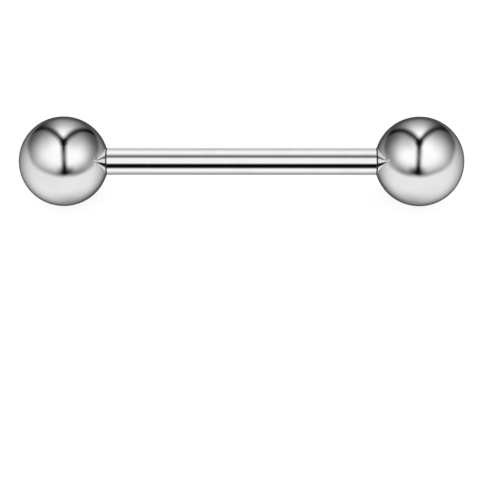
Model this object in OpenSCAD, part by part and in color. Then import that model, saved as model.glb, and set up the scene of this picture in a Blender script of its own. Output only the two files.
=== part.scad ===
// Straight barbell for a tongue piercing: a round bar with a screw-on ball
// at each end, lying on its two balls. The bar runs along X. The origin is
// on the surface that it lies on, half-way between the balls.

/* [Bar] */
// Diameter of the plain shank, 14 gauge
bar_d = 1.6; // [1.45:0.05:2]
// Wearable length, from one ball's seat to the other's
bar_length = 16; // [10:1:24]
// Bevel round each shoulder, where the shank meets its ball
shoulder_bevel = 0.05; // [0.02:0.01:0.08]

/* [Posts] */
// Outer diameter of the screw thread on the end posts
thread_d = 1.2; // [1:0.05:1.25]
// Distance from one thread ridge to the next
thread_pitch = 0.25; // [0.2:0.05:0.35]
// Length of a post, from the shoulder to its tip
post_length = 2.6; // [2:0.1:3.2]
// Bevel round the tip of a post
tip_bevel = 0.1; // [0.05:0.01:0.2]

/* [Balls] */
// Diameter of a ball
ball_d = 5.3; // [4.5:0.1:6.5]
// Width of the flat seat that shows outside the shank
seat_lip = 0.035; // [0.02:0.005:0.1]
// How far the hole runs on past the tip of the post
hole_spare = 0.4; // [0.2:0.05:0.6]
// Countersink round the mouth of the hole
mouth_bevel = 0.06; // [0.03:0.01:0.08]

/* [Clearances] */
// Gap between a shoulder and the seat of its ball
seat_gap = 0.02; // [0.01:0.01:0.05]
// Gap all round a post in its hole
hole_clearance = 0.035; // [0.02:0.005:0.06]

/* [Hidden] */

bar_r = bar_d / 2;
ball_r = ball_d / 2;
shoulder_x = bar_length / 2 - seat_gap;

// Ridge height of a metric thread, as a share of its pitch
thread_depth = 0.6 * thread_pitch;
thread_r = thread_d / 2;
root_r = thread_r - thread_depth;
// Ridges that fit behind the tip bevel, with a plain neck at the shoulder
// that takes at least one pitch
ridges = floor((post_length - tip_bevel) / thread_pitch) - 1;
neck = post_length - tip_bevel - ridges * thread_pitch;
// How far a post is sunk into the shank that it is turned from
post_root = 1;

hole_r = thread_r + hole_clearance;
hole_depth = post_length + hole_spare;
// Height of the cone that the drill leaves at the end of the hole
drill_tip = hole_r / tan(59);

seat_r = bar_r + seat_lip;
seat_depth = sqrt(ball_r * ball_r - seat_r * seat_r);
ball_x = bar_length / 2 + seat_depth;

steel = [0.80, 0.80, 0.81];
overlap = 0.1;
$fn = 96;

// Turns what is modelled along +Z to point along the bar, at its height.
// side is 1 for the right end and -1 for the left end.
module along_bar(side = 1) {
    translate([0, 0, ball_r]) rotate([0, side * 90, 0]) children();
}

// Valleys and ridges in turn, up the threaded stretch
function ridge_outline() = [
    for (i = [0 : ridges - 1])
        let (z = neck + i * thread_pitch)
            each [[root_r, z], [thread_r, z + thread_pitch / 2]]
];

// A post with the shoulder at z = 0. The ridges are closed rings.
module threaded_post() {
    rotate_extrude()
        polygon(concat(
            [[0, -post_root], [root_r, -post_root]],
            ridge_outline(),
            [[root_r, post_length - tip_bevel]],
            [[root_r - tip_bevel, post_length], [0, post_length]]
        ));
}

// Half of the shank, from the middle to a shoulder
module half_shank() {
    cylinder(h = shoulder_x - shoulder_bevel, r = bar_r);
    translate([0, 0, shoulder_x - shoulder_bevel])
        cylinder(h = shoulder_bevel, r1 = bar_r, r2 = bar_r - shoulder_bevel);
}

module bar() {
    color(steel)
        for (side = [-1, 1])
            along_bar(side) {
                half_shank();
                translate([0, 0, shoulder_x]) threaded_post();
            }
}

// The blind hole that takes a post, with its mouth at z = 0
module post_hole() {
    translate([0, 0, -overlap]) cylinder(h = hole_depth + overlap, r = hole_r);
    translate([0, 0, hole_depth]) cylinder(h = drill_tip, r1 = hole_r, r2 = 0);
    translate([0, 0, -overlap])
        cylinder(
            h = mouth_bevel + overlap,
            r1 = hole_r + mouth_bevel + overlap,
            r2 = hole_r
        );
}

// A ball with its seat facing -Z and its centre at the origin. The sphere is
// turned so that its poles are at the top and bottom of the ball as it lies.
module ball() {
    difference() {
        rotate([0, 90, 0]) sphere(r = ball_r);
        translate([0, 0, -seat_depth - ball_r]) cylinder(h = ball_r, r = ball_r);
        translate([0, 0, -seat_depth]) post_hole();
    }
}

module ball_left() {
    color(steel) along_bar(-1) translate([0, 0, ball_x]) ball();
}

module ball_right() {
    color(steel) along_bar(1) translate([0, 0, ball_x]) ball();
}

bar();
ball_left();
ball_right();
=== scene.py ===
"""Dresses a straight tongue barbell that lies on its two balls.

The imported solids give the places, the radius of the balls and the length of the bar
over all. This script turns a finer bar with a true helical thread and finer balls
with tapped holes, and polishes them. Each ball mirrors a tent of soft light of its
own, and the bar mirrors a shell of light that stands round both tents.
"""

import logging
import math
from collections.abc import Mapping, Sequence
from dataclasses import dataclass
from enum import Enum, IntEnum
from typing import Any

import bmesh
import bpy
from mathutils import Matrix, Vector

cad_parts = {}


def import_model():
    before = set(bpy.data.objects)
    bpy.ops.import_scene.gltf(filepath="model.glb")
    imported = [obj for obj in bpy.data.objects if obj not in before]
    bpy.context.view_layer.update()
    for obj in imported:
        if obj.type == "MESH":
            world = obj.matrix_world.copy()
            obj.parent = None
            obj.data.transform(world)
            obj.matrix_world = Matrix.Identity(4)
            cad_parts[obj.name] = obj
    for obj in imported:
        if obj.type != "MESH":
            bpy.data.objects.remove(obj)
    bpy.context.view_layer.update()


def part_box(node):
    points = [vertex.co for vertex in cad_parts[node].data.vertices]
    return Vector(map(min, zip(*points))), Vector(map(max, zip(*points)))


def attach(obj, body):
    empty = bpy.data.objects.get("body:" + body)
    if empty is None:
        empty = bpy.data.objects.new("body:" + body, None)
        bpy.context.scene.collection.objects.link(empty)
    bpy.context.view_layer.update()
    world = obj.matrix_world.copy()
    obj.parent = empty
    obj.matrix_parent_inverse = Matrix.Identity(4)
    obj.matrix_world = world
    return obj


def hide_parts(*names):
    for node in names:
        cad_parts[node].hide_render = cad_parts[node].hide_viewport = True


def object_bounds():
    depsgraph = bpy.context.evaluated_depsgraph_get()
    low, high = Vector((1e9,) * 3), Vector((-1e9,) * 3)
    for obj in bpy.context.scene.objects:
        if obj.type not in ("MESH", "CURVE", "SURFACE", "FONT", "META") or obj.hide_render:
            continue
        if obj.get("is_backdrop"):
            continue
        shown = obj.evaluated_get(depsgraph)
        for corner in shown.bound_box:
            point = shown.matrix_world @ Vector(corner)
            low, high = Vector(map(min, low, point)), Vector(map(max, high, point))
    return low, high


log = logging.getLogger("barbell")

MM = 0.001
FULL_TURN = 2 * math.pi
# The turn round Y that lays what a lathe made up its Z along X
LAID_ALONG_X = math.radians(90)
WHITE = (1.0, 1.0, 1.0, 1.0)
# The strength of the brightest light in the tents and in the shell round them
BRIGHTEST = 1.3

Pair = tuple[float, float]
Triple = tuple[float, float, float]
Stops = Sequence[Pair]


class End(Enum):
    """The two ends of the bar, with the direction in which each one points along X."""

    LEFT = -1
    RIGHT = 1

    @property
    def node(self) -> str:
        """The name of the ball on this end, as a solid and as a body."""
        return f"ball_{self.name.lower()}"


class Surface(IntEnum):
    """The kinds of surface on a turned piece, in the order of its material slots."""

    POLISHED = 0
    FACED = 1
    THREADED = 2
    # The near-black bevels and rims where bar and ball meet: painted shade of the seam
    # between them
    SHADED_SEAM = 3


class Value:
    """One output of a shader node, on which arithmetic adds Math nodes."""

    def __init__(self, shader: "Shader", socket: bpy.types.NodeSocket) -> None:
        """Keeps the output and the shader that its node is in."""
        self.shader = shader
        self.socket = socket

    def sibling(self, name: str) -> "Value":
        """Another output of the same node."""
        return Value(self.shader, self.socket.node.outputs[name])

    def math(self, operation: str, *terms: "Value | float") -> "Value":
        """What a Math node makes of this value and then the terms."""
        inputs = dict(enumerate((self, *terms)))
        return self.shader.node("ShaderNodeMath", {"operation": operation}, inputs)

    def __add__(self, other: "Value | float") -> "Value":
        """This value plus another."""
        return self.math("ADD", other)

    __radd__ = __add__

    def __mul__(self, other: "Value | float") -> "Value":
        """This value times another."""
        return self.math("MULTIPLY", other)

    __rmul__ = __mul__

    def __sub__(self, other: "Value | float") -> "Value":
        """This value less another."""
        return self.math("SUBTRACT", other)

    def __rsub__(self, other: float) -> "Value":
        """A number less this value."""
        inputs = {0: other, 1: self}
        return self.shader.node("ShaderNodeMath", {"operation": "SUBTRACT"}, inputs)

    def __abs__(self) -> "Value":
        """This value without its sign."""
        return self.math("ABSOLUTE")

    def step(self, low: float, high: float) -> "Value":
        """A smooth step from 0 to 1.

        Args:
            low: where the step leaves 0. It may be above high, for a step down.
            high: where it reaches 1.

        Returns:
            The step's height at this value.
        """
        settings = {"interpolation_type": "SMOOTHSTEP"}
        inputs = {"Value": self, "From Min": low, "From Max": high}
        return self.shader.node("ShaderNodeMapRange", settings, inputs)

    def curve(self, stops: Stops) -> "Value":
        """A level that follows this value smoothly through a few stops.

        Args:
            stops: pairs of this value and the level there, in rising order. The first
                and the last are the ends of the curve, and levels are from 0 to 1.

        Returns:
            The level at this value.
        """
        low, high = stops[0][0], stops[-1][0]
        inputs = {"Value": self, "From Min": low, "From Max": high}
        place = self.shader.node("ShaderNodeMapRange", {}, inputs)
        places = [((at - low) / (high - low), level) for at, level in stops]
        settings = {"interpolation": "B_SPLINE", "stops": places}
        return self.shader.node("ShaderNodeValToRGB", settings, {"Fac": place})


class Shader:
    """A material's or the world's node tree, emptied and built up node by node."""

    def __init__(self, owner: bpy.types.Material | bpy.types.World) -> None:
        """Takes over the tree.

        Args:
            owner: the material or world whose tree it is.
        """
        owner.use_nodes = True
        self.tree = owner.node_tree
        self.tree.nodes.clear()

    def node(
        self,
        kind: str,
        settings: Mapping[str, Any] | None = None,
        inputs: Mapping[str | int, Any] | None = None,
    ) -> Value:
        """Adds one node.

        Args:
            kind: the node's type.
            settings: its properties, which are set first. "stops" and
                "interpolation" are those of a ramp, with levels as greys.
            inputs: the value or link of each socket, by name, identifier or place.

        Returns:
            The node's first output that is in use.
        """
        made = self.tree.nodes.new(kind)
        for name, setting in (settings or {}).items():
            if name == "stops":
                self._set_stops(made.color_ramp, setting)
            elif kind == "ShaderNodeValToRGB":
                setattr(made.color_ramp, name, setting)
            else:
                setattr(made, name, setting)
        for key, value in (inputs or {}).items():
            self._feed(self._socket(made, key), value)
        return Value(self, next(out for out in made.outputs if out.enabled))

    @staticmethod
    def _set_stops(ramp: bpy.types.ColorRamp, stops: Stops) -> None:
        """Gives a ramp its stops.

        Args:
            ramp: a new ramp, with two stops.
            stops: pairs of a place from 0 to 1 and a grey level.
        """
        for _ in stops[2:]:
            ramp.elements.new(1.0)
        for element, (place, level) in zip(ramp.elements, stops):
            element.position = place
            element.color = (level, level, level, 1)

    @staticmethod
    def _socket(node: bpy.types.Node, key: str | int) -> bpy.types.NodeSocket:
        """Finds one of a node's inputs.

        Args:
            node: the node.
            key: the input's identifier, name or place.

        Returns:
            The input.
        """
        if isinstance(key, int):
            return node.inputs[key]
        same = [one for one in node.inputs if one.identifier == key]
        return same[0] if same else node.inputs[key]

    def _feed(self, socket: bpy.types.NodeSocket, value: Any) -> None:
        """Links a value to an input, or sets a plain one on it.

        Args:
            socket: the input.
            value: a Value to link, or a plain number, vector or colour.
        """
        if isinstance(value, Value):
            self.tree.links.new(value.socket, socket)
        else:
            socket.default_value = value

    def place(self) -> Value:
        """The place on the surface, in millimetres of the piece's own space."""
        where = self.node("ShaderNodeTexCoord").sibling("Object")
        return self.scaled(where, (1 / MM,) * 3)

    def scaled(self, vector: Value, scale: Triple) -> Value:
        """A vector with each part multiplied by its own number."""
        settings = {"operation": "MULTIPLY"}
        return self.node("ShaderNodeVectorMath", settings, {0: vector, 1: scale})

    def parts(self, vector: Value) -> tuple[Value, Value, Value]:
        """The three parts of a vector."""
        x = self.node("ShaderNodeSeparateXYZ", {}, {0: vector})
        return x, x.sibling("Y"), x.sibling("Z")

    def noise(self, vector: Value, scale: float, detail: float) -> Value:
        """Smooth noise about 0.5, with so many swells to a millimetre at each place."""
        inputs = {"Vector": vector, "Scale": scale, "Detail": detail}
        return self.node("ShaderNodeTexNoise", {}, inputs)

    def tint(self, share: Value, low: Triple, high: Triple) -> Value:
        """A colour between two.

        Args:
            share: 0 for the first colour and 1 for the second.
            low: the first colour, red, green and blue.
            high: the second.

        Returns:
            The colour.
        """
        settings = {"data_type": "RGBA"}
        inputs = {"Factor_Float": share, "A_Color": (*low, 1), "B_Color": (*high, 1)}
        return self.node("ShaderNodeMix", settings, inputs)

    def bump(self, height: Value, distance: float) -> Value:
        """A normal tilted by a height, of which 1 stands for so many metres."""
        inputs = {"Height": height, "Distance": distance, "Strength": 1.0}
        return self.node("ShaderNodeBump", {}, inputs)

    def glow(self, level: Value) -> Value:
        """A surface that gives light of its own."""
        return self.node("ShaderNodeEmission", {}, {"Color": level})

    def clear_glow(self, level: Value) -> Value:
        """The same, on a sheet that also lets all other light by."""
        clear = self.node("ShaderNodeBsdfTransparent")
        return self.node("ShaderNodeAddShader", {}, {0: clear, 1: self.glow(level)})

    def end_in(self, surface: Value, kind: str = "ShaderNodeOutputMaterial") -> None:
        """Ends the tree in an output node that shows the surface."""
        output = self.tree.nodes.new(kind)
        self.tree.links.new(surface.socket, output.inputs["Surface"])

    def end_in_principled(self, inputs: Mapping[str | int, Any]) -> None:
        """Ends a material's tree in one Principled surface with these inputs."""
        self.end_in(self.node("ShaderNodeBsdfPrincipled", {}, inputs))


@dataclass(frozen=True)
class MirrorPolish:
    """Steel tumbled to a mirror, with the hairlines and smudges of handling."""

    name: str
    bright: Triple = (0.80, 0.80, 0.80)
    dulled: Triple = (0.74, 0.74, 0.745)
    roughness: float = 0.06
    smudges_per_mm: float = 0.35
    smudge_edges: Pair = (0.45, 0.75)
    smudge_roughness: float = 0.05
    # How many times to a millimetre the hairlines change, across and along a line
    across_hairline: float = 26.0
    along_hairline: float = 1.4
    hairline_edges: Pair = (0.70, 0.78)
    hairline_roughness: float = 0.06
    hairline_depth: float = 0.00004 * MM
    swells_per_mm: float = 2.0
    # The share of that depth that a broad swell has, and the hairlines the rest
    swell_share: float = 0.3

    def material(self) -> bpy.types.Material:
        """Makes the finish.

        Returns:
            The new material.
        """
        made = bpy.data.materials.new(self.name)
        shader = Shader(made)
        place = shader.place()
        smudge = shader.noise(place, self.smudges_per_mm, detail=3).step(*self.smudge_edges)
        scratches = self._scratches(shader, place)
        roughness = (
            self.roughness
            + smudge * self.smudge_roughness
            + scratches * self.hairline_roughness
        )
        swell = shader.noise(place, self.swells_per_mm, detail=1)
        height = swell * self.swell_share + (1 - scratches) * (1 - self.swell_share)
        shader.end_in_principled(
            {
                "Base Color": shader.tint(smudge, self.bright, self.dulled),
                "Roughness": roughness,
                "Metallic": 1.0,
                "Normal": shader.bump(height, self.hairline_depth),
            }
        )
        return made

    def _scratches(self, shader: Shader, place: Value) -> Value:
        """Fine hairlines in three directions.

        Args:
            shader: the shader that they are drawn in.
            place: the place on the surface.

        Returns:
            1 along a hairline and 0 beside it.
        """
        fine, coarse = self.across_hairline, self.along_hairline
        runs = ((fine, coarse, coarse), (coarse, fine, coarse), (coarse, coarse, fine))
        first, second, third = (
            shader.noise(shader.scaled(place, run), scale=1.0, detail=1) for run in runs
        )
        highest = first.math("MAXIMUM", second).math("MAXIMUM", third)
        return highest.step(*self.hairline_edges)


@dataclass(frozen=True)
class TurnedPolish:
    """Steel turned, ground and buffed along its length, so fine rings stay in it."""

    name: str = "turned_polished_steel"
    bright: Triple = (0.92, 0.92, 0.92)
    dulled: Triple = (0.86, 0.86, 0.865)
    roughness: float = 0.06
    hazes_per_mm: float = 0.8
    haze_edges: Pair = (0.45, 0.8)
    rings_per_mm: float = 18.0
    # How fast a ring changes on its way round, as a share of how fast across
    ring_waver: float = 0.05
    ring_roughness: float = 0.02
    ring_depth: float = 0.00006 * MM
    anisotropy: float = 0.5
    anisotropy_turn: float = 0.25

    def material(self) -> bpy.types.Material:
        """Makes the finish, for a piece turned round its own Z.

        Returns:
            The new material.
        """
        made = bpy.data.materials.new(self.name)
        shader = Shader(made)
        place = shader.place()
        along = shader.scaled(place, (self.ring_waver, self.ring_waver, 1.0))
        rings = shader.noise(along, self.rings_per_mm, detail=3)
        haze = shader.noise(place, self.hazes_per_mm, detail=2).step(*self.haze_edges)
        shader.end_in_principled(
            {
                "Base Color": shader.tint(haze, self.bright, self.dulled),
                "Roughness": self.roughness + rings * self.ring_roughness,
                "Metallic": 1.0,
                "Normal": shader.bump(rings, self.ring_depth),
                "Anisotropic": self.anisotropy,
                "Anisotropic Rotation": self.anisotropy_turn,
            }
        )
        return made


@dataclass(frozen=True)
class CutSteel:
    """Steel as the tool leaves it: facing and thread-cutting marks, and stains of
    polishing compound at random."""

    name: str
    bright: Triple = (0.70, 0.70, 0.70)
    dark: Triple = (0.20, 0.20, 0.20)
    roughness: float = 0.26
    marks_per_mm: float = 30.0
    mark_roughness: float = 0.14
    mark_depth: float = 0.0008 * MM
    stains_per_mm: float = 4.0
    stain_edges: Pair = (0.48, 0.72)

    def material(self) -> bpy.types.Material:
        """Makes the finish, for a piece turned round its own Z.

        Returns:
            The new material.
        """
        made = bpy.data.materials.new(self.name)
        shader = Shader(made)
        place = shader.place()
        x, y, z = shader.parts(place)
        radius = (x * x + y * y).math("SQRT")
        turned = shader.node("ShaderNodeCombineXYZ", {}, {0: radius, 2: z})
        marks = shader.noise(turned, self.marks_per_mm, detail=2)
        stain = shader.noise(place, self.stains_per_mm, detail=3).step(*self.stain_edges)
        shader.end_in_principled(
            {
                "Base Color": shader.tint(stain, self.bright, self.dark),
                "Roughness": self.roughness + marks * self.mark_roughness,
                "Metallic": 1.0,
                "Normal": shader.bump(marks, self.mark_depth),
            }
        )
        return made


# Near-black steel for the bevels and rims where bar and ball meet: painted shade of the seam
# between them
SEAM_SHADE_STEEL = CutSteel(
    name="seam_shade_steel", bright=(0.16, 0.16, 0.16), dark=(0.03, 0.03, 0.03), roughness=0.4
)


@dataclass(frozen=True)
class PaleSheet:
    """A plain matt sheet, lit from behind so that it stays almost white."""

    name: str = "pale_sheet"
    colour: Triple = (0.40, 0.40, 0.40)
    grains_per_mm: float = 1.5
    grain_shade: float = 0.99
    roughness: float = 0.95
    glow: float = 0.73

    def material(self) -> bpy.types.Material:
        """Makes the finish.

        Returns:
            The new material.
        """
        made = bpy.data.materials.new(self.name)
        shader = Shader(made)
        grain = shader.noise(shader.place(), self.grains_per_mm, detail=4)
        red, green, blue = (self.grain_shade * part for part in self.colour)
        shader.end_in_principled(
            {
                "Base Color": shader.tint(grain, (red, green, blue), self.colour),
                "Roughness": self.roughness,
                "Specular IOR Level": 0.0,
                "Emission Color": WHITE,
                "Emission Strength": self.glow,
            }
        )
        return made


@dataclass(frozen=True)
class ThreadForm:
    """The profile of a screw thread that stands out from a plain radius."""

    pitch: float
    plain_radius: float
    depth: float
    run_in: float
    # Shares of the pitch, and of the depth there, up one tooth
    profile: Stops = (
        (0.00, 0.00),
        (0.16, 0.00),
        (0.22, 0.08),
        (0.48, 0.92),
        (0.54, 1.00),
        (0.64, 1.00),
        (0.70, 0.92),
        (0.94, 0.08),
    )

    def radius(self, z: float, tooth: float, start: float, end: float) -> float:
        """The radius at a height, for a share of the depth that fades at both ends."""
        fade = min(1.0, (z - start) / self.run_in, (end - z) / self.run_in)
        return self.plain_radius + self.depth * tooth * max(0.0, fade)


class Lathe:
    """Turns an outline round local Z into one closed mesh."""

    # Vertices nearer to one another than this become one
    weld: float = 0.00005 * MM

    def __init__(self, segments: int) -> None:
        """Starts with an empty mesh.

        Args:
            segments: how many flats there are round the piece.
        """
        self.segments = segments
        self.mesh = bmesh.new()
        self.ring: list[bmesh.types.BMVert] = []

    def _vertex(self, z: float, radius: float, column: int) -> bmesh.types.BMVert:
        """Adds a vertex.

        Args:
            z: its height.
            radius: its distance from the axis.
            column: its place round the piece, counted in flats.

        Returns:
            The vertex.
        """
        angle = FULL_TURN * column / self.segments
        spot = (radius * math.cos(angle), radius * math.sin(angle), z)
        return self.mesh.verts.new(spot)

    def _face(self, corners: Sequence[bmesh.types.BMVert], surface: Surface) -> None:
        """Adds a smooth face.

        Args:
            corners: the vertices round it.
            surface: what kind of surface it is part of.
        """
        face = self.mesh.faces.new(corners)
        face.material_index = surface
        face.smooth = True

    def to(self, z: float, radius: float, surface: Surface = Surface.POLISHED) -> None:
        """Carries the outline on in a straight line, and turns it.

        Args:
            z: the height of the line's end.
            radius: its radius, or 0 on the axis.
            surface: what kind of surface the line makes.
        """
        columns = range(self.segments if radius > 0 else 1)
        last, self.ring = self.ring, [self._vertex(z, radius, one) for one in columns]
        if not last:
            return
        # A ring on the axis is a single vertex, which a face takes once
        for column in range(self.segments):
            following = (column + 1) % self.segments
            around = [last[column % len(last)], last[following % len(last)]]
            around += [self.ring[following % len(self.ring)]]
            around += [self.ring[column % len(self.ring)]]
            self._face(list(dict.fromkeys(around)), surface)

    def arc(
        self,
        centre: Pair,
        radius: float,
        sweep: Pair,
        steps: int,
        surface: Surface = Surface.POLISHED,
    ) -> None:
        """Carries the outline on round part of a circle.

        Args:
            centre: the height and the radius at which the circle's centre is.
            radius: the circle's own radius.
            sweep: the angles from +Z between which it goes, in radians.
            steps: how many straight lines it is made of.
            surface: what kind of surface it makes.
        """
        start, end = sweep
        for step in range(1, steps + 1):
            angle = start + (end - start) * step / steps
            z = centre[0] + radius * math.cos(angle)
            self.to(z, centre[1] + radius * math.sin(angle), surface)

    def thread(self, form: ThreadForm, start: float, end: float) -> None:
        """Carries the outline up a right-handed screw thread.

        Args:
            form: the thread's profile.
            start: the height at which it starts, from a ring of the plain radius.
            end: the height at which it ends.
        """
        # It begins a turn early, and what is beyond an end is welded there
        turns = range(-1, math.ceil((end - start) / form.pitch) + 1)
        rows = [
            self._thread_row(form, turn + share, tooth, start, end)
            for turn in turns
            for share, tooth in form.profile
        ]
        a_turn = len(form.profile)
        for index in range(len(rows) - 1):
            for column in range(self.segments):
                following = (column + 1) % self.segments
                other = index if following else index + a_turn
                if other + 1 < len(rows):
                    near, far = rows[index : index + 2], rows[other : other + 2]
                    around = (near[0][column], far[0][following])
                    around += (far[1][following], near[1][column])
                    self._face(around, Surface.THREADED)
        self.ring = []
        self.to(end, form.plain_radius)

    def _thread_row(
        self, form: ThreadForm, turn: float, tooth: float, start: float, end: float
    ) -> list[bmesh.types.BMVert]:
        """One line of vertices that climbs a pitch while it goes once round.

        Args:
            form: the thread's profile.
            turn: how many pitches above the start it begins.
            tooth: the share of the depth that it runs at.
            start: the height at which the thread starts.
            end: the height at which it ends.

        Returns:
            The vertices. Those beyond an end lie on it.
        """
        row = []
        for column in range(self.segments):
            climb = start + form.pitch * (turn + column / self.segments)
            z = min(max(climb, start), end)
            row.append(self._vertex(z, form.radius(z, tooth, start, end), column))
        return row

    def finish(
        self, name: str, materials: Sequence[bpy.types.Material], crease: float
    ) -> bpy.types.Object:
        """Welds the rings and makes the object.

        Args:
            name: the object's name.
            materials: one for each kind of surface, in order.
            crease: the angle between faces, in degrees, that stays a sharp edge.

        Returns:
            The new object, at the origin.
        """
        bmesh.ops.remove_doubles(self.mesh, verts=self.mesh.verts, dist=self.weld)
        bmesh.ops.recalc_face_normals(self.mesh, faces=self.mesh.faces)
        mesh = bpy.data.meshes.new(name)
        self.mesh.to_mesh(mesh)
        self.mesh.free()
        mesh.set_sharp_from_angle(angle=math.radians(crease))
        for material in materials:
            mesh.materials.append(material)
        made = bpy.data.objects.new(name, mesh)
        bpy.context.scene.collection.objects.link(made)
        return made


@dataclass
class Bar:
    """The shank with its bevelled shoulders and a threaded post at each end."""

    diameter: float = 1.6 * MM
    shoulder_bevel: float = 0.05 * MM
    bevel_steps: int = 4
    # The shank beside a bevel, apart so that the shank itself shades straight
    edge_band: float = 0.02 * MM
    post_length: float = 2.6 * MM
    tip_bevel: float = 0.1 * MM
    thread_diameter: float = 1.2 * MM
    thread_pitch: float = 0.25 * MM
    thread_depth: float = 0.15 * MM
    thread_run_in: float = 0.2 * MM
    neck: float = 0.12 * MM
    segments: int = 96
    # The angle between faces, in degrees, that stays a sharp edge
    crease: float = 38.0

    def build(self) -> bpy.types.Object:
        """Turns the bar, polishes it and puts it in place of its solid.

        Returns:
            The bar, which rides on its own body.
        """
        low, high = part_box("bar")
        tip = (high.x - low.x) / 2
        lathe = Lathe(self.segments)
        lathe.to(-tip, 0)
        self._post_up_to_shoulder(lathe, tip)
        self._post_down_from_shoulder(lathe, tip)
        lathe.to(tip, 0, Surface.FACED)
        cut = CutSteel("thread_cut_steel").material()
        faced = CutSteel("faced_steel").material()
        # The shoulder bevels take painted shade of the seam against the balls
        seam_shade = SEAM_SHADE_STEEL.material()
        finishes = (TurnedPolish().material(), faced, cut, seam_shade)
        bar = lathe.finish("turned_bar", finishes, self.crease)
        bar.location = (low + high) / 2
        bar.rotation_euler.y = LAID_ALONG_X
        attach(bar, "bar")
        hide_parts("bar")
        return bar

    @property
    def _form(self) -> ThreadForm:
        """The thread on a post, from its root up."""
        root = self.thread_diameter / 2 - self.thread_depth
        return ThreadForm(self.thread_pitch, root, self.thread_depth, self.thread_run_in)

    def _post_up_to_shoulder(self, lathe: Lathe, tip: float) -> None:
        """Turns the lower post, from its tip to the polished shank.

        Args:
            lathe: the lathe, with the outline at the middle of the lower tip.
            tip: the height of the upper tip.
        """
        root = self._form.plain_radius
        shoulder = self.post_length - tip
        bevel = self.shoulder_bevel
        inside = self.diameter / 2 - bevel
        lathe.to(-tip, root - self.tip_bevel, Surface.FACED)
        lathe.to(self.tip_bevel - tip, root, Surface.FACED)
        lathe.thread(self._form, self.tip_bevel - tip, shoulder - self.neck)
        lathe.to(shoulder, root, Surface.THREADED)
        lathe.to(shoulder, inside, Surface.FACED)
        centre, sweep = (shoulder + bevel, inside), (math.pi, math.pi / 2)
        # The bevel is near-black: painted shade of the seam against the ball
        lathe.arc(centre, bevel, sweep, self.bevel_steps, Surface.SHADED_SEAM)
        lathe.to(shoulder + bevel + self.edge_band, inside + bevel)

    def _post_down_from_shoulder(self, lathe: Lathe, tip: float) -> None:
        """Turns the shank and the upper post, the same in the other order.

        Args:
            lathe: the lathe, with the outline at the shank's lower end.
            tip: the height of the upper tip.
        """
        root = self._form.plain_radius
        shoulder = tip - self.post_length
        bevel = self.shoulder_bevel
        inside = self.diameter / 2 - bevel
        lathe.to(shoulder - bevel - self.edge_band, inside + bevel)
        lathe.to(shoulder - bevel, inside + bevel)
        centre, sweep = (shoulder - bevel, inside), (math.pi / 2, 0.0)
        # The bevel is near-black: painted shade of the seam against the ball
        lathe.arc(centre, bevel, sweep, self.bevel_steps, Surface.SHADED_SEAM)
        lathe.to(shoulder, root, Surface.FACED)
        lathe.to(shoulder + self.neck, root, Surface.THREADED)
        lathe.thread(self._form, shoulder + self.neck, tip - self.tip_bevel)
        lathe.to(tip, root - self.tip_bevel, Surface.FACED)


@dataclass
class Ball:
    """A ball with a flat seat and a tapped blind hole."""

    end: End
    seat_radius: float = 0.835 * MM
    # The outer ring of the seat is near-black: painted shade of the seam against the bar's
    # shoulder
    seat_shade_rim: float = 0.06 * MM
    hole_radius: float = 0.635 * MM
    hole_depth: float = 3.0 * MM
    mouth_bevel: float = 0.06 * MM
    # The angle between the sides of the drill's point, in degrees
    drill_point: float = 118.0
    tapped_depth: float = 2.5 * MM
    groove_depth: float = 0.06 * MM
    thread_pitch: float = 0.25 * MM
    thread_run_in: float = 0.1 * MM
    segments: int = 192
    # The angle between faces, in degrees, that stays a sharp edge
    crease: float = 15.0

    def build(self) -> bpy.types.Object:
        """Turns the ball, polishes it and puts it in place of its solid.

        Returns:
            The ball, which rides on its own body.
        """
        low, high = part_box(self.end.node)
        radius = (high.z - low.z) / 2
        outermost = high.x if self.end is End.RIGHT else low.x
        lathe = Lathe(self.segments)
        self._sphere(lathe, radius)
        self._hole(lathe, math.sqrt(radius**2 - self.seat_radius**2))
        polish = MirrorPolish(f"mirror_polish_{self.end.name.lower()}").material()
        cut = CutSteel("tapped_steel").material()
        faced = CutSteel("seat_steel").material()
        finishes = (polish, faced, cut, SEAM_SHADE_STEEL.material())
        ball = lathe.finish(f"polished_{self.end.node}", finishes, self.crease)
        centre_x = outermost - self.end.value * radius
        ball.location = (centre_x, (low.y + high.y) / 2, (low.z + high.z) / 2)
        ball.rotation_euler.y = LAID_ALONG_X * self.end.value
        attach(ball, self.end.node)
        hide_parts(self.end.node)
        return ball

    def _sphere(self, lathe: Lathe, radius: float) -> None:
        """Turns the round outside, from the far pole to the seat.

        Args:
            lathe: the lathe, with nothing on it.
            radius: the ball's radius.
        """
        seat_angle = math.pi - math.asin(self.seat_radius / radius)
        lathe.to(radius, 0)
        lathe.arc((0, 0), radius, (0, seat_angle), self.segments // 2)

    def _hole(self, lathe: Lathe, seat_depth: float) -> None:
        """Turns the flat seat, and the hole up from it into the ball.

        Args:
            lathe: the lathe, with the outline at the edge of the seat.
            seat_depth: how far the seat is from the ball's centre.
        """
        mouth = -seat_depth
        tapped = ThreadForm(
            self.thread_pitch, self.hole_radius, self.groove_depth, self.thread_run_in
        )
        floor = mouth + self.hole_depth
        point = self.hole_radius / math.tan(math.radians(self.drill_point / 2))
        # The rim of the seat is near-black: painted shade of the seam against the bar
        lathe.to(mouth, self.seat_radius - self.seat_shade_rim, Surface.SHADED_SEAM)
        lathe.to(mouth, self.hole_radius + self.mouth_bevel, Surface.FACED)
        lathe.to(mouth + self.mouth_bevel, self.hole_radius, Surface.FACED)
        lathe.thread(tapped, mouth + self.mouth_bevel, mouth + self.tapped_depth)
        lathe.to(floor, self.hole_radius, Surface.THREADED)
        lathe.to(floor + point, 0, Surface.THREADED)


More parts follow.
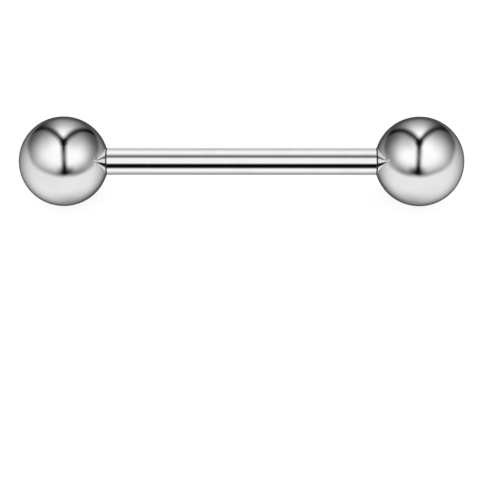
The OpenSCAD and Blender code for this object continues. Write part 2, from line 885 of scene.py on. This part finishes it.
@dataclass
class Shell:
    """A round shell of light, seen only in the pieces that it lights."""

    name: str
    radius: float
    centre: Triple
    lit: Sequence[bpy.types.Object]
    segments: int = 64

    def build(self, light: bpy.types.Material) -> bpy.types.Object:
        """Makes the shell.

        Args:
            light: the material that it glows with.

        Returns:
            The shell, which no other piece and no camera sees.
        """
        mesh = bpy.data.meshes.new(self.name)
        form = bmesh.new()
        bmesh.ops.create_uvsphere(
            form,
            u_segments=self.segments,
            v_segments=self.segments // 2,
            radius=self.radius,
        )
        form.to_mesh(mesh)
        form.free()
        light.cycles.emission_sampling = "NONE"
        mesh.materials.append(light)
        shell = bpy.data.objects.new(self.name, mesh)
        bpy.context.scene.collection.objects.link(shell)
        shell.location = self.centre
        shell.visible_camera = False
        shell.visible_diffuse = False
        shell.visible_shadow = False
        group = bpy.data.collections.new(f"lit_by_{self.name}")
        for piece in self.lit:
            group.objects.link(piece)
        shell.light_linking.receiver_collection = group
        shell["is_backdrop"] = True
        return shell


class Direction:
    """Where each place on a tent is, as the barbell sees it.

    The turn is in degrees from the front, positive outwards, and the bearing is the
    same without its sign. The height is in degrees above level. The width outwards,
    the depth to the back and the rise are parts of a direction of length 1.
    """

    def __init__(self, shader: Shader, set_back: float, outer_side: int) -> None:
        """Works the measures out.

        Args:
            shader: the shader of the tent's light.
            set_back: how far the tent's centre is behind the barbell, in metres.
            outer_side: 1 if outwards is to the right, and -1 if it is to the left.
        """
        inputs = {0: shader.place(), 1: (0, set_back / MM, 0)}
        seen = shader.node("ShaderNodeVectorMath", {"operation": "ADD"}, inputs)
        unit = shader.node("ShaderNodeVectorMath", {"operation": "NORMALIZE"}, {0: seen})
        in_degrees = math.degrees(1)
        across, self.depth, self.rise = shader.parts(unit)
        self.outward = across * outer_side
        self.turn = self.outward.math("ARCTAN2", self.depth * -1) * in_degrees
        self.bearing = abs(self.turn)
        self.height = self.rise.math("ARCSINE") * in_degrees


@dataclass
class LightTent:
    """A round tent of soft light, seen only in one ball.

    Two sheets in front and one at the back leave three dark seams that meet near the
    top: a stem down the front, and an arm down each side of the back. The tents of
    the two ends are mirror images of each other.

    Bearings, heights, widths and depths are those of a Direction. A pair of them is
    where a step leaves 0 and where it reaches 1. Levels are shares of the brightest.
    """

    end: End
    ball: bpy.types.Object
    # The two tents differ in radius, so that neither's surface lies in the other's
    radius: float = 300 * MM
    radius_apart: float = 3 * MM
    set_back: float = 214 * MM
    # How far the tent stands to the right, with the point that it is seen from
    aside: float = -1.2 * MM
    # The sheets at the front and the sides
    front_by_depth: Stops = (
        (-1, 0.94), (-0.5, 0.95), (-0.38, 0.93), (-0.25, 0.84), (-0.12, 0.73), (0, 0.63),
        (0.12, 0.53), (0.25, 0.42), (0.38, 0.31), (0.5, 0.23), (0.7, 0.14), (1, 0.10)
    )
    front_by_height: Stops = (
        (0, 0.26), (4, 0.32), (8, 0.43), (12, 0.58), (18, 0.75), (25, 0.90), (32, 0.98),
        (40, 1.0), (90, 1.0)
    )
    side_by_height: Stops = (
        (0, 0.66), (5, 0.50), (11, 0.44), (18, 0.55), (25, 0.68), (33, 0.84), (42, 0.97),
        (50, 1.0), (90, 1.0)
    )
    side_bearings: Pair = (35.0, 100.0)
    # The sheet at the back
    back_by_height: Stops = (
        (0, 0.06), (6, 0.11), (12, 0.18), (20, 0.28), (30, 0.38), (40, 0.50), (50, 0.64),
        (60, 0.80), (70, 0.97), (78, 1.0), (90, 1.0)
    )
    back_widths: Pair = (0.6, 0.1)
    back_bearings: Pair = (145.0, 150.0)
    # How far in front of the top the seams meet
    seams_meet: float = 0.14
    # The arms, which are narrower low down, and each one's angle from straight back
    outer_arm_spread: float = 31.3
    outer_arm_width: float = 0.21
    inner_arm_spread: float = 26.6
    inner_arm_width: float = 0.23
    arms_inward: float = 0.008
    arms_narrowing: float = 0.55
    narrow_heights: Pair = (65.0, 25.0)
    # The light in the arms, away from the top
    arm_glow: float = 0.12
    outer_arm_glow: float = 0.06
    arm_glow_heights: Pair = (88.0, 76.0)
    # The stem, and how dark it is
    stem_width: float = 0.215
    stem_inward: float = 0.007
    stem_foot_widening: float = 0.13
    stem_foot_heights: Pair = (32.0, 12.0)
    stem_by_height: Stops = (
        (0, 1.0), (15, 1.0), (23, 1.0), (30, 0.94), (40, 0.86), (50, 0.86), (60, 0.93),
        (70, 1.0), (90, 1.0)
    )
    # The dark round the foot of the stem
    foot_darkness: float = 0.85
    foot_bearings: Pair = (30.0, 6.0)
    foot_lean: float = 4.0
    foot_top: Pair = (28.0, 8.0)
    foot_bottom: Pair = (-3.0, 6.0)
    # The shade low on the inner side, towards the other ball
    inner_shade: float = 0.15
    shade_widths: Pair = (-0.05, -0.55)
    shade_heights: Pair = (32.0, 8.0)
    shade_bearings: Pair = (115.0, 75.0)
    # How the light grows outwards near the top
    top_slope: float = 0.6
    top_heights: Pair = (47.0, 80.0)
    # The table, with the barbell's own shadow on it
    table_by_bearing: Stops = (
        (0, 0.77), (60, 0.75), (75, 0.72), (90, 0.64), (105, 0.49), (120, 0.36),
        (135, 0.22), (150, 0.12), (165, 0.08), (180, 0.10)
    )
    under_level: float = 0.33
    under_heights: Pair = (-42.0, -100.0)
    # The horizon between table and sheets. It is lifted at the back, and in front it
    # climbs outwards, from a drop on the inner side
    horizon_heights: Pair = (-11.5, 2.5)
    back_lift: float = 5.0
    lift_bearings: Pair = (75.0, 110.0)
    climb: float = 7.0
    climb_by_width: Stops = (
        (-1, 0.0), (-0.42, 0.0), (-0.26, 0.18), (-0.09, 0.58), (0.09, 0.44), (0.26, 0.36),
        (0.42, 0.65), (0.57, 0.93), (0.7, 1.0), (1, 1.0)
    )
    climb_bearings: Pair = (140.0, 95.0)
    inner_drop: float = 1.5
    # The dark of the room, straight beyond the barbell and under the far table
    beyond_height: float = -34.0
    beyond_edges: Pair = (0.74, 0.93)
    beyond_darkness: float = 0.35

    def build(self) -> bpy.types.Object:
        """Makes the tent round the barbell.

        Returns:
            The tent.
        """
        side = self.end.value
        radius = self.radius + side * self.radius_apart
        centre = (self.aside, self.set_back, 0)
        name = f"light_tent_{self.end.name.lower()}"
        return Shell(name, radius, centre, [self.ball]).build(self._light())

    def _light(self) -> bpy.types.Material:
        """The tent's own light, by direction from the barbell.

        Returns:
            The new material.
        """
        made = bpy.data.materials.new("tent_light")
        shader = Shader(made)
        seen = Direction(shader, self.set_back, self.end.value)
        above = self._above_horizon(seen)
        level = self._sheets(seen) * above + self._table(seen) * (1 - above)
        level = level * self._past_the_dark(seen)
        shader.end_in(shader.clear_glow(level * BRIGHTEST))
        return made

    def _sheets(self, seen: Direction) -> Value:
        """The light of the three sheets, with the seams between them.

        Args:
            seen: the direction of the place.

        Returns:
            The level.
        """
        at_back = seen.bearing.step(*self.back_bearings)
        front = self._front(seen) * (1 - at_back)
        back = self._back(seen) * at_back
        shade = self._low_inside(seen) * self.inner_shade
        slope = seen.outward * seen.height.step(*self.top_heights) * self.top_slope
        level = (front + back) * self._past_the_seams(seen) * self._past_the_foot(seen)
        return level * (1 - shade) * (1 + slope)

    def _front(self, seen: Direction) -> Value:
        """The light of the two sheets at the front and the sides.

        Args:
            seen: the direction of the place.

        Returns:
            The level.
        """
        side = seen.bearing.step(*self.side_bearings)
        straight = seen.height.curve(self.front_by_height) * (1 - side)
        sideways = seen.height.curve(self.side_by_height) * side
        return seen.depth.curve(self.front_by_depth) * (straight + sideways)

    def _back(self, seen: Direction) -> Value:
        """The light of the sheet at the back."""
        across = abs(seen.outward).step(*self.back_widths)
        return seen.height.curve(self.back_by_height) * across

    def _past_the_seams(self, seen: Direction) -> Value:
        """The share of the light that the three seams let be.

        Args:
            seen: the direction of the place.

        Returns:
            The share, which is lowest in the middle of a seam and 1 beside it.
        """
        behind = (seen.depth + self.seams_meet).math("MAXIMUM", 0)
        leaning = seen.outward + self.stem_inward
        foot = seen.height.step(*self.stem_foot_heights)
        narrowed = self._length(leaning, behind) * (1 - foot * self.stem_foot_widening)
        stem = narrowed.step(self.stem_width, 0)
        return self._past_the_arms(seen) * (1 - stem * seen.height.curve(self.stem_by_height))

    def _past_the_arms(self, seen: Direction) -> Value:
        """The share of the light that the two seams at the back let be.

        Args:
            seen: the direction of the place.

        Returns:
            The share, which is lowest in the middle of an arm and 1 beside it.
        """
        behind = seen.depth + self.seams_meet
        across = seen.outward + self.arms_inward
        farther = 1 + seen.height.step(*self.narrow_heights) * self.arms_narrowing
        outer = self._from_arm(across, behind, self.outer_arm_spread) * farther
        inner = self._from_arm(across * -1, behind, self.inner_arm_spread) * farther
        share = outer.step(0, self.outer_arm_width) * inner.step(0, self.inner_arm_width)
        glow = seen.outward * self.outer_arm_glow + self.arm_glow
        glow = seen.height.step(*self.arm_glow_heights) * glow
        return share + glow * (1 - share)

    def _from_arm(self, across: Value, behind: Value, spread: float) -> Value:
        """How far a place is from one of the two seams at the back.

        Args:
            across: how far the place is to the seam's own side of the middle.
            behind: how far it is behind the meeting of the seams.
            spread: the angle between the seam and straight back, in degrees.

        Returns:
            The distance, as part of a direction of length 1.
        """
        sine, cosine = math.sin(math.radians(spread)), math.cos(math.radians(spread))
        along = (across * sine + behind * cosine).math("MAXIMUM", 0)
        return self._length(across - along * sine, behind - along * cosine)

    @staticmethod
    def _length(first: Value, second: Value) -> Value:
        """The length of a flat vector."""
        return (first * first + second * second).math("SQRT")

    def _past_the_foot(self, seen: Direction) -> Value:
        """The share of the light that the dark foot of the stem lets be.

        Args:
            seen: the direction of the place.

        Returns:
            The share.
        """
        bearing = abs(seen.turn + self.foot_lean)
        near = bearing.step(*self.foot_bearings) * seen.height.step(*self.foot_top)
        return 1 - near * seen.height.step(*self.foot_bottom) * self.foot_darkness

    def _low_inside(self, seen: Direction) -> Value:
        """A share that is 1 low on the inner side, and 0 elsewhere and at the back."""
        low = seen.outward.step(*self.shade_widths) * seen.height.step(*self.shade_heights)
        return low * seen.bearing.step(*self.shade_bearings)

    def _above_horizon(self, seen: Direction) -> Value:
        """Tells the sheets from the table.

        Args:
            seen: the direction of the place.

        Returns:
            1 above the horizon and 0 below it, with a smooth step between.
        """
        lift = seen.bearing.step(*self.lift_bearings) * self.back_lift
        climb = seen.outward.curve(self.climb_by_width) * self.climb - self.inner_drop
        lift = lift + climb * seen.bearing.step(*self.climb_bearings)
        return (seen.height - lift).step(*self.horizon_heights)

    def _table(self, seen: Direction) -> Value:
        """The light that the table sends up.

        Args:
            seen: the direction of the place.

        Returns:
            The level.
        """
        under = seen.height.step(*self.under_heights)
        lit = seen.bearing.curve(self.table_by_bearing) * (1 - under)
        return lit + under * self.under_level

    def _past_the_dark(self, seen: Direction) -> Value:
        """The share of the light that the dark of the room lets be.

        Args:
            seen: the direction of the place.

        Returns:
            The share.
        """
        tilt = math.radians(self.beyond_height)
        beyond = seen.depth * math.cos(tilt) + seen.rise * math.sin(tilt)
        return 1 - beyond.step(*self.beyond_edges) * self.beyond_darkness


@dataclass
class BandShell:
    """A far shell of light round both tents, seen only in the bar.

    It gives the bar its crisp bands. Angles are in degrees round the bar from the
    front, up over the top. Levels are shares of the brightest light.
    """

    lit: Sequence[bpy.types.Object]
    radius: float = 600 * MM
    level_by_angle: Stops = (
        (-180, 0.56), (-168, 0.80), (-154, 0.0), (-115, 0.32), (-91, 0.27), (-75, 0.50),
        (-61, 0.73), (-47, 0.80), (-37, 0.82), (-29.5, 0.40), (-22, 0.02), (-14.5, 0.0),
        (4.5, 0.0), (9.5, 0.03), (16, 0.50), (22.5, 0.84), (35, 0.73), (53, 0.78),
        (61, 0.62), (67, 0.20), (75, 0.06), (82.5, 0.18), (92.5, 0.46), (102.5, 0.74),
        (115, 0.80), (129, 0.74), (142, 0.56), (155, 0.41), (175, 0.46), (180, 0.56)
    )

    def build(self) -> bpy.types.Object:
        """Makes the shell round the bar.

        Returns:
            The shell.
        """
        low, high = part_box("bar")
        centre = tuple((low + high) / 2)
        return Shell("band_shell", self.radius, centre, self.lit).build(self._light())

    def _light(self) -> bpy.types.Material:
        """The shell's light, by angle round the bar.

        Returns:
            The new material.
        """
        made = bpy.data.materials.new("band_light")
        shader = Shader(made)
        _, y, z = shader.parts(shader.place())
        angle = z.math("ARCTAN2", y * -1) * math.degrees(1)
        shader.end_in(shader.glow(angle.curve(self.level_by_angle) * BRIGHTEST))
        return made


@dataclass
class Table:
    """The plain pale sheet that the barbell lies on, and the pale room beyond it."""

    half_width: float = 1200 * MM
    room_level: float = 1.0

    def build(self) -> bpy.types.Object:
        """Lays the sheet and lights the room.

        Returns:
            The sheet.
        """
        mesh = bpy.data.meshes.new("pale_table")
        half = self.half_width
        corners = [(-half, -half, 0), (half, -half, 0), (half, half, 0), (-half, half, 0)]
        mesh.from_pydata(corners, [], [(0, 1, 2, 3)])
        mesh.materials.append(PaleSheet().material())
        sheet = bpy.data.objects.new("pale_table", mesh)
        bpy.context.scene.collection.objects.link(sheet)
        sheet.visible_glossy = False
        sheet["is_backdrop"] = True
        self._light_room()
        return sheet

    def _light_room(self) -> None:
        """Fills the room with one even light."""
        room = bpy.data.worlds.new("pale_room")
        bpy.context.scene.world = room
        shader = Shader(room)
        inputs = {"Color": WHITE, "Strength": self.room_level}
        even = shader.node("ShaderNodeBackground", {}, inputs)
        shader.end_in(even, "ShaderNodeOutputWorld")


@dataclass
class PhotoCamera:
    """The camera, placed so that the barbell lands where the photograph has it."""

    distance: float = 109.5 * MM
    # The angle, in degrees, at which it looks down
    elevation: float = 34.0
    nearest: float = 1.095 * MM
    farthest: float = 4000 * MM
    lens_mm: float = 138.75
    sensor_mm: float = 36.0
    frame_px: float = 480.0
    barbell_px: Pair = (241.5, 161.35)

    def build(self) -> bpy.types.Object:
        """Makes the camera and takes the scene's view from it.

        Returns:
            The camera.
        """
        data = bpy.data.cameras.new("photo_camera")
        data.lens = self.lens_mm
        data.sensor_width = self.sensor_mm
        data.clip_start = self.nearest
        data.clip_end = self.farthest
        camera = bpy.data.objects.new("photo_camera", data)
        bpy.context.scene.collection.objects.link(camera)
        low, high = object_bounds()
        centre = (low + high) / 2
        tilt = math.radians(self.elevation)
        back = Vector((0, -math.cos(tilt), math.sin(tilt)))
        up = Vector((0, math.sin(tilt), math.cos(tilt)))
        pixel = self.distance * self.sensor_mm / self.lens_mm / self.frame_px
        right_px = self.barbell_px[0] - self.frame_px / 2
        up_px = self.frame_px / 2 - self.barbell_px[1]
        aim = centre - Vector((right_px * pixel, 0, 0)) - up * up_px * pixel
        camera.location = centre + back * self.distance
        camera.rotation_mode = "QUATERNION"
        camera.rotation_quaternion = (aim - camera.location).to_track_quat("-Z", "Y")
        bpy.context.scene.camera = camera
        bpy.context.scene.view_settings.view_transform = "Standard"
        return camera


def main() -> None:
    """Loads the model, builds each piece in order, and logs each one."""
    logging.basicConfig(level=logging.INFO, format="%(message)s")
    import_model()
    bar = Bar().build()
    balls = [Ball(end).build() for end in End]
    for made in (bar, *balls):
        log.info("%s: %d faces", made.name, len(made.data.polygons))
    tents = [LightTent(end, ball) for end, ball in zip(End, balls)]
    for part in (Table(), *tents, BandShell([bar]), PhotoCamera()):
        log.info("%s is in place", part.build().name)


if __name__ == "__main__":
    main()
